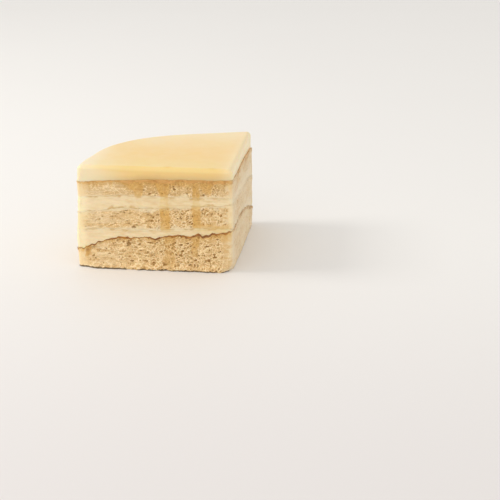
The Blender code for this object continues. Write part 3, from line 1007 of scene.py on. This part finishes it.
# ---------------------------------------------------------------- shared effects


def honey_soak_group():
    """Tints a colour where honey has soaked in, veils it with amber, and makes it wetter.

    The honey lies unevenly: it is darker in soft blots.
    """
    name = "Honey soak"
    if name in bpy.data.node_groups:
        return bpy.data.node_groups[name]
    inputs = (
        ("Colour", "Color"),
        ("Honey", "Color"),
        ("Amber", "Color"),
        ("Soak", "Float"),
        ("Dry", "Float"),
    )
    tree, start, end = new_group(name, inputs, (("Colour", "Color"), ("Roughness", "Float")))
    soak, place = start.outputs["Soak"], place_of(tree)
    tint = times(tree, soak, 0.80)
    tinted = blend_colours(tree, tint, start.outputs["Colour"], start.outputs["Honey"], "MULTIPLY")
    patchy = remap(tree, noise(tree, place, 0.0022, 3), 0.3, 0.7, 0.30, 0.65)
    veil = times(tree, soak, patchy)
    veiled = blend_colours(tree, veil, tinted, start.outputs["Amber"])
    blots = remap(tree, noise(tree, place, 0.0032, 2), 0.50, 0.75, 0.0, 0.35)
    blots = times(tree, soak, blots)
    blotted = blend_colours(tree, blots, veiled, start.outputs["Honey"], "MULTIPLY")
    wet = times(tree, soak, 0.35)
    join(tree, blotted, end.inputs["Colour"])
    join(tree, maths(tree, "SUBTRACT", start.outputs["Dry"], wet), end.inputs["Roughness"])
    return tree


def mottle_group():
    """Two colours mixed in soft patches of two sizes, with fine specks."""
    name = "Mottle"
    if name in bpy.data.node_groups:
        return bpy.data.node_groups[name]
    inputs = (("Light", "Color"), ("Dark", "Color"), ("Amount", "Float"))
    tree, start, end = new_group(name, inputs, (("Colour", "Color"), ("Height", "Float")))
    place = place_of(tree)
    broad = remap(tree, noise(tree, place, 0.012, 2), 0.35, 0.7)
    fine = remap(tree, noise(tree, place, 0.0016, 4, 0.6), 0.35, 0.7)
    mixed = maths(tree, "ADD", times(tree, broad, 0.4), times(tree, fine, 0.6))
    amount = times(tree, mixed, start.outputs["Amount"])
    colour = blend_colours(tree, amount, start.outputs["Light"], start.outputs["Dark"])
    join(tree, colour, end.inputs["Colour"])
    join(tree, fine, end.inputs["Height"])
    return tree


def open_crumb_group():
    """Crumb seen close: pale strands in painted highlight, and dark pores and fine pits between them
    in painted shade.
    """
    name = "Open crumb"
    if name in bpy.data.node_groups:
        return bpy.data.node_groups[name]
    inputs = (("Crumb", "Color"), ("Strand", "Color"), ("Pore", "Color"), ("Tone", "Float"))
    outputs = (("Colour", "Color"), ("Height", "Float"), ("Pore_shade", "Float"))
    tree, start, end = new_group(name, inputs, outputs)
    place = place_of(tree)
    foam = add_node(tree, "ShaderNodeTexVoronoi", feature="F1")
    join(tree, place, foam.inputs["Vector"])
    set_inputs(foam, {"Scale": 1 / 0.0011})
    pit = remap(tree, foam.outputs["Distance"], 0.12, 0.32, 1.0, 0.0)
    chosen = add_node(tree, "ShaderNodeSeparateColor")
    join(tree, foam.outputs["Color"], chosen.inputs[0])
    pit = times(tree, pit, maths(tree, "GREATER_THAN", chosen.outputs[0], 0.6))
    grain = noise(tree, place, 0.00065, 3, 0.65)
    speck = remap(tree, grain, 0.35, 0.68, -0.30, 0.30)
    raised = maths(tree, "ADD", start.outputs["Tone"], speck)
    # Painted highlight where the crumb stands high, painted shade where it sinks into pits and pores.
    crest = remap(tree, raised, -0.15, 0.65)
    sunken = maths(tree, "SUBTRACT", raised, times(tree, pit, 0.45))
    deep = remap(tree, sunken, -1.15, -0.40, 1.0, 0.0)
    colour = blend_colours(tree, crest, start.outputs["Crumb"], start.outputs["Strand"])
    join(tree, blend_colours(tree, deep, colour, start.outputs["Pore"]), end.inputs["Colour"])
    join(tree, maths(tree, "SUBTRACT", grain, pit), end.inputs["Height"])
    join(tree, deep, end.inputs["Pore_shade"])
    return tree


# ---------------------------------------------------------------- finishes


def sponge_material(name, colours, look):
    """Sponge crumb: open and mottled, browned at its crust, amber where soaked."""
    dry = 0.82
    material, tree, shader = surface_material(name, dry, subsurface=0.12, radius=0.0012, sheen=0.25)
    light = [min(channel * look.shade, 1) for channel in colours.crumb]
    bare_lit_crumb = [min(channel * look.shade, 1) for channel in colours.lit_corner_crumb]
    honey = attribute(tree, "honey")
    mottled = use_group(tree, mottle_group(), Light=light, Dark=colours.crumb_dark, Amount=0.7)
    crumb = use_group(
        tree,
        open_crumb_group(),
        Crumb=mottled["Colour"],
        Strand=colours.strand_highlight,
        Pore=colours.pore,
        Tone=attribute(tree, "tone_and_shading"),
    )
    shallow = maths(tree, "SUBTRACT", 1.0, times(tree, crumb["Pore_shade"], 0.7))
    film = times(tree, attribute(tree, "film"), shallow)
    colour = blend_colours(tree, film, crumb["Colour"], colours.cream)
    # Partly the knife's film, partly painted sheen, on the side cut.
    dust_and_sheen = times(tree, attribute(tree, "dust_and_sheen"), shallow)
    colour = blend_colours(tree, dust_and_sheen, colour, colours.dusty_sheen)
    # Painted light down the front cut's upright edges.
    painted_corner_light = times(tree, attribute(tree, "corner"), 0.75)
    colour = blend_colours(tree, painted_corner_light, colour, bare_lit_crumb)
    place = place_of(tree)
    ragged = maths(tree, "SUBTRACT", noise(tree, place, 0.0011, 3), 0.5)
    below = maths(tree, "ADD", attribute(tree, "below"), ragged)
    hidden = maths(tree, "MAXIMUM", attribute(tree, "dust_and_sheen"), times(tree, painted_corner_light, 0.8))
    shown = maths(tree, "SUBTRACT", 1.0, times(tree, hidden, 0.76))
    stain = remap(tree, below, 0.6, look.stain_reach, look.stain, 0.0)
    stain = times(tree, stain, shown)
    colour = blend_colours(tree, stain, colour, colours.honey, "MULTIPLY")
    soaked_crumb = use_group(
        tree,
        honey_soak_group(),
        Colour=colour,
        Honey=colours.honey,
        Amber=colours.amber,
        Soak=honey,
        Dry=dry,
    )
    crust, scorch = getattr(colours, look.crust), getattr(colours, look.scorch)
    scorched = remap(tree, noise(tree, place, 0.0040, 3), 0.35, 0.65)
    crust = blend_colours(tree, scorched, crust, scorch)
    browned = times(tree, remap(tree, below, 0.75, 1.25, 1.0, 0.0), shown)
    browned = maths(tree, "MAXIMUM", browned, attribute(tree, "drip"))
    colour = blend_colours(tree, browned, soaked_crumb["Colour"], crust)
    glazed = times(tree, honey, times(tree, browned, 0.5))
    colour = blend_colours(tree, glazed, colour, colours.honey, "MULTIPLY")
    # The base's brown skin, with its contact shadow painted in.
    colour = blend_colours(tree, attribute(tree, "foot"), colour, colours.foot)
    join(tree, colour, shader.inputs["Base Color"])
    join(tree, soaked_crumb["Roughness"], shader.inputs["Roughness"])
    set_bump(tree, shader, crumb["Height"], 0.00022, 0.8)
    return material


def cream_material(name, colours):
    """Cream: pale and smooth, streaked by the knife, with crumbs in it, amber where soaked."""
    dry = 0.5
    material, tree, shader = surface_material(name, dry, subsurface=0.25, radius=0.0020, sheen=0.10)
    light, dark = colours.cream, colours.cream_dark
    cream = use_group(tree, mottle_group(), Light=light, Dark=dark, Amount=0.3)
    colour = blend_colours(tree, attribute(tree, "streaks"), cream["Colour"], dark)
    colour = blend_colours(tree, attribute(tree, "crumbs"), colour, colours.crumb_dark)
    # Partly the knife's film, partly painted sheen, on the side cut.
    dust_and_sheen = times(tree, attribute(tree, "film"), 0.6)
    colour = blend_colours(tree, dust_and_sheen, colour, colours.dusty_sheen)
    # Painted light down the front cut's upright edges.
    painted_corner_light = times(tree, attribute(tree, "corner"), 0.75)
    colour = blend_colours(tree, painted_corner_light, colour, colours.rubbed)
    soaked_cream = use_group(
        tree,
        honey_soak_group(),
        Colour=colour,
        Honey=colours.honey,
        Amber=colours.honeyed_cream,
        Soak=times(tree, attribute(tree, "honey"), 0.50),
        Dry=dry,
    )
    join(tree, soaked_cream["Colour"], shader.inputs["Base Color"])
    join(tree, soaked_cream["Roughness"], shader.inputs["Roughness"])
    set_bump(tree, shader, cream["Height"], 0.00012, 0.5)
    return material


def topping_material(name, colours):
    """Set honey custard: smooth, softly glossy, deeper yellow at the front."""
    material, tree, shader = surface_material(
        name, roughness=0.38, subsurface=0.35, radius=0.0035, coat=0.08
    )
    light, golden = colours.topping, colours.golden
    custard = use_group(tree, mottle_group(), Light=light, Dark=golden, Amount=0.12)
    colour = blend_colours(tree, attribute(tree, "golden"), custard["Colour"], golden)
    # Darker by the crust: partly soaked honey, partly painted shade at the joint.
    seeping_and_shade = times(tree, attribute(tree, "seeping_and_shade"), 0.75)
    colour = blend_colours(tree, seeping_and_shade, colour, colours.soaked_and_shaded_topping)
    honeyed = times(tree, attribute(tree, "honeyed"), 0.30)
    colour = blend_colours(tree, honeyed, colour, colours.honey, "MULTIPLY")
    # Paler towards the back; painted light at the far left, painted sheen by the side cut.
    colour = blend_colours(tree, attribute(tree, "pale"), colour, colours.pale_and_lit_topping)
    # Painted sheen on the side cut.
    colour = blend_colours(tree, attribute(tree, "side"), colour, colours.side_topping_sheen)
    join(tree, colour, shader.inputs["Base Color"])
    place = place_of(tree)
    rough = remap(tree, noise(tree, place, 0.010, 3), 0.3, 0.7, 0.32, 0.44)
    join(tree, rough, shader.inputs["Roughness"])
    set_bump(tree, shader, noise(tree, place, 0.0022, 4, 0.6), 0.00012, 0.3)
    return material


def floor_material(colours):
    """Plain pale floor, with painted shade that makes it a little darker towards the front."""
    material, tree, shader = surface_material(
        "studio floor", roughness=0.6, subsurface=0.0, radius=0.001
    )
    place = place_of(tree)
    split = add_node(tree, "ShaderNodeSeparateXYZ")
    join(tree, place, split.inputs[0])
    # Painted shade: darker towards the front.
    front = remap(tree, split.outputs["Y"], -0.36, 0.04, 1.0, 0.0)
    uneven = remap(tree, noise(tree, place, 0.4, 2), 0.2, 0.8, 0.0, 0.1)
    shade = maths(tree, "ADD", front, uneven)
    near = [channel * share for channel, share in zip(colours.floor, (0.895, 0.875, 0.885))]
    colour = blend_colours(tree, shade, colours.floor, near)
    join(tree, colour, shader.inputs["Base Color"])
    return material


# ---------------------------------------------------------------- operators


def dress(piece, node, material):
    """Hands a finished layer to the frame: it stands for its solid and wears its finish."""
    piece.data.materials.append(material)
    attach(piece, "root")
    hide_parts(node)


# A sponge's looks: how deep its crumb's cells are, the share of them that is closed, its share of
# large pores, how much of its relief the far part of the front has lost, how far from the tip it
# is rubbed bare, its crust's thickness and two colours, how strong the stain beneath it is and how
# many thicknesses deep, the crumb's lightness, and how far the cream below and above smears it.
Look = collections.namedtuple(
    "Look",
    "openness closed pores far bare_tip thickness crust scorch stain stain_reach shade"
    " smear_low smear_high",
)
NO_CRUST = 1e-6  # the thickness given to a sponge that has none
FAR_BELOW = 20  # thicknesses below a crust, where nothing of it shows any more


def add_sponge(context, name, node, lower, upper, count, look, seed, base_round=0):
    """A layer of sponge between two surfaces, with count rows of mesh up its wall."""
    form, colours = context.scene.cake_form, context.scene.cake_colours
    wall = plain_wall(form, lower, upper, count, edge_steps=6, base_round=base_round)
    thickness = crust_thickness(wall, look.thickness, seed + 18)
    honey = soaked(wall)
    out, tone_and_shading = crumb_relief(form, wall, look, rubbed_share(wall, look, honey), seed)
    out = out + crust_edge(form, wall, thickness, seed) + swell(form, wall)
    if lower is BASE:
        out = out + frayed_base(form, wall, seed + 12)
    below = np.clip(wall.below / thickness, 0, FAR_BELOW)
    attributes = {
        "tone_and_shading": tone_and_shading,
        "below": below + (FAR_BELOW if look.thickness == NO_CRUST else 0),
        "honey": honey,
        "film": smeared(wall, look, seed + 15),
        # the side cut's film: partly the knife's, partly painted sheen
        "dust_and_sheen": dusted_and_sheened(wall, seed + 16),
        # painted light down the front cut's upright edges
        "corner": rubbed_and_lit_corners(wall),
        # brown skin of the base's edge with its contact shadow painted in
        "foot": browned_and_shaded_foot(wall, seed + 17) if lower is BASE else np.zeros_like(wall.z),
        "drip": drip_share(wall) if upper is LOWER_CRUST else np.zeros_like(wall.z),
    }
    piece = add_layer(name, form, wall, out, lower, upper, attributes)
    dress(piece, node, sponge_material(name, colours, look))


def add_cream(context, name, node, lower, upper, count, seed):
    """A filling between two surfaces, with crumbs dragged into its edges."""
    form, colours = context.scene.cake_form, context.scene.cake_colours
    wall = plain_wall(form, lower, upper, count)
    out = cream_relief(form, wall, seed)
    edge = np.minimum(wall.above if lower is not LOWER_CRUST else wall.below, wall.below)
    specks = layered_noise(wall.along / 1.6, wall.z, 0.0024, seed + 6, 3)
    streaks = layered_noise(wall.along / 5, wall.z, 0.0009, seed + 8, 3)
    streaks = (0.15 + 0.8 * streaks) * (1 - 0.6 * smooth_step(-wall.along, 0.060, 0.085))
    attributes = {
        "honey": soaked(wall),
        # the side cut's film: partly the knife's, partly painted sheen
        "film": wall.side,
        # painted light down the front cut's upright edges
        "corner": rubbed_and_lit_corners(wall),
        "crumbs": 0.85 * smooth_step(specks * 0.0024 - edge, -0.0008, 0.0009),
        "streaks": np.clip(streaks, 0, 0.8),
    }
    piece = add_layer(name, form, wall, out, lower, upper, attributes)
    dress(piece, node, cream_material(name, colours))


class CAKE_OT_sponge_layers(bpy.types.Operator):
    """Model the three layers of sponge, with open crumb at the cuts and a browned crust"""

    bl_idname = "cake.sponge_layers"
    bl_label = "Sponge Layers"

    def execute(self, context):
        base_round = context.scene.cake_form.base_round
        bottom = Look(
            openness=1.0, closed=0.38, pores=1.0, far=0.18, bare_tip=0.0070, thickness=0.0009,
            crust="crust", scorch="scorched_crust", stain=0.58, stain_reach=4.0, shade=1.0,
            smear_low=0, smear_high=0,
        )
        middle = Look(
            openness=1.0, closed=0.25, pores=0.25, far=0.35, bare_tip=0.0028, thickness=NO_CRUST,
            crust="crust", scorch="crust", stain=0.0, stain_reach=2.0, shade=1.05,
            smear_low=0.0011, smear_high=0.0011,
        )
        top = Look(
            openness=0.65, closed=0.22, pores=0.20, far=0.45, bare_tip=0.0028, thickness=0.0013,
            crust="pale_crust", scorch="crust_line", stain=0.65, stain_reach=4.6, shade=0.94,
            smear_low=0.0004, smear_high=0,
        )
        layers = (
            ("bottom_sponge", "sponge_bottom", BASE, LOWER_CRUST, 80, bottom, 11, base_round),
            ("middle_sponge", "sponge_middle", LOWER_CREAM, MIDDLE_SPONGE, 52, middle, 23),
            ("top_sponge", "sponge_top", UPPER_CREAM, UPPER_CRUST, 38, top, 37),
        )
        for layer in layers:
            add_sponge(context, *layer)
        return {"FINISHED"}


class CAKE_OT_cream_fillings(bpy.types.Operator):
    """Model the two cream fillings, each as thick as the room between its sponges"""

    bl_idname = "cake.cream_fillings"
    bl_label = "Cream Fillings"

    def execute(self, context):
        add_cream(context, "lower_cream", "cream_lower", LOWER_CRUST, LOWER_CREAM, 26, 51)
        add_cream(context, "upper_cream", "cream_upper", MIDDLE_SPONGE, UPPER_CREAM, 26, 57)
        return {"FINISHED"}


class CAKE_OT_topping(bpy.types.Operator):
    """Model the smooth custard topping with its rounded upper edge"""

    bl_idname = "cake.topping"
    bl_label = "Custard Topping"

    def execute(self, context):
        form, colours = context.scene.cake_form, context.scene.cake_colours
        wall = plain_wall(
            form, UPPER_CRUST, CAKE_TOP, count=14, edge_steps=12, top_round=form.topping_round
        )
        out = topping_relief(wall, seed=61)
        rim = smooth_step(wall.z, CAKE_HEIGHT - 0.0018, CAKE_HEIGHT - 0.0001)
        attributes = {
            "golden": golden_share,
            # partly soaked honey, partly painted shade at the joint with the crust
            "seeping_and_shade": seeping_and_shade_share,
            # paler towards the back; painted light at the far left, painted sheen by the side cut
            "pale": pale_and_lit_share,
            "honeyed": honeyed_share,
            # painted sheen on the side cut, fading over the rounded rim
            "side": wall.side * (1 - rim),
        }
        piece = add_layer(
            "custard_topping", form, wall, out, UPPER_CRUST, CAKE_TOP, attributes, OPEN_CAP
        )
        dress(piece, "topping", topping_material("custard topping", colours))
        return {"FINISHED"}


def add_light(name, place, size, power, colour):
    lamp = bpy.data.lights.new(name, "AREA")
    lamp.size = size
    lamp.energy = power
    lamp.color = colour
    light = bpy.data.objects.new(name, lamp)
    light.location = place
    light.rotation_euler = (LIT_PLACE - Vector(place)).to_track_quat("-Z", "Y").to_euler()
    bpy.context.scene.collection.objects.link(light)


def add_camera():
    lens = bpy.data.cameras.new("camera")
    lens.lens = CAMERA_LENS
    lens.sensor_width = SENSOR_WIDTH
    lens.clip_start = 0.01
    camera = bpy.data.objects.new("camera", lens)
    camera.location = TIP + CAMERA_PLACE
    facing = CAMERA_TARGET - CAMERA_PLACE
    camera.rotation_euler = facing.to_track_quat("-Z", "Y").to_euler()
    bpy.context.scene.collection.objects.link(camera)
    bpy.context.scene.camera = camera


class CAKE_OT_stage(bpy.types.Operator):
    """Set up the pale floor, the soft light from the upper left and the camera"""

    bl_idname = "cake.stage"
    bl_label = "Stage"

    def execute(self, context):
        mesh = bpy.data.meshes.new("floor")
        signs = ((-1, -1), (1, -1), (1, 1), (-1, 1))
        corners = [(FLOOR_REACH * x, FLOOR_REACH * y, 0) for x, y in signs]
        mesh.from_pydata(corners, [], [(0, 1, 2, 3)])
        mesh.materials.append(floor_material(context.scene.cake_colours))
        floor = bpy.data.objects.new("floor", mesh)
        context.scene.collection.objects.link(floor)
        add_light("key", (-1.0, -0.10, 0.80), size=0.45, power=5.5, colour=(1.0, 0.97, 0.93))
        add_light("fill", (-0.6, -3.0, 1.3), size=2.4, power=15.0, colour=(1.0, 0.98, 0.96))
        world = bpy.data.worlds.new("studio")
        world.use_nodes = True
        sky = world.node_tree.nodes["Background"]
        set_inputs(sky, {"Color": (1.0, 0.985, 0.965, 1), "Strength": 0.85})
        context.scene.world = world
        context.scene.view_settings.view_transform = "Standard"
        add_camera()
        return {"FINISHED"}


class CAKE_PT_panel(bpy.types.Panel):
    """The cake's steps and settings"""

    bl_idname = "CAKE_PT_panel"
    bl_label = "Honey Layer Cake"
    bl_space_type = "VIEW_3D"
    bl_region_type = "UI"
    bl_category = "Cake"

    def draw(self, context):
        layout = self.layout
        for settings in (context.scene.cake_form, context.scene.cake_colours):
            column = layout.column(align=True)
            for key in settings.bl_rna.properties.keys():
                if key not in ("rna_type", "name"):
                    column.prop(settings, key)
        for operator in OPERATORS:
            layout.operator(operator.bl_idname)


OPERATORS = (CAKE_OT_sponge_layers, CAKE_OT_cream_fillings, CAKE_OT_topping, CAKE_OT_stage)
CLASSES = (CakeForm, CakeColours, *OPERATORS, CAKE_PT_panel)


def register():
    for item in CLASSES:
        bpy.utils.register_class(item)
    bpy.types.Scene.cake_form = PointerProperty(type=CakeForm)
    bpy.types.Scene.cake_colours = PointerProperty(type=CakeColours)


def unregister():
    del bpy.types.Scene.cake_colours
    del bpy.types.Scene.cake_form
    for item in reversed(CLASSES):
        bpy.utils.unregister_class(item)


def main():
    register()
    bpy.ops.cake.sponge_layers()
    bpy.ops.cake.cream_fillings()
    bpy.ops.cake.topping()
    bpy.ops.cake.stage()


if __name__ == "__main__":
    main()
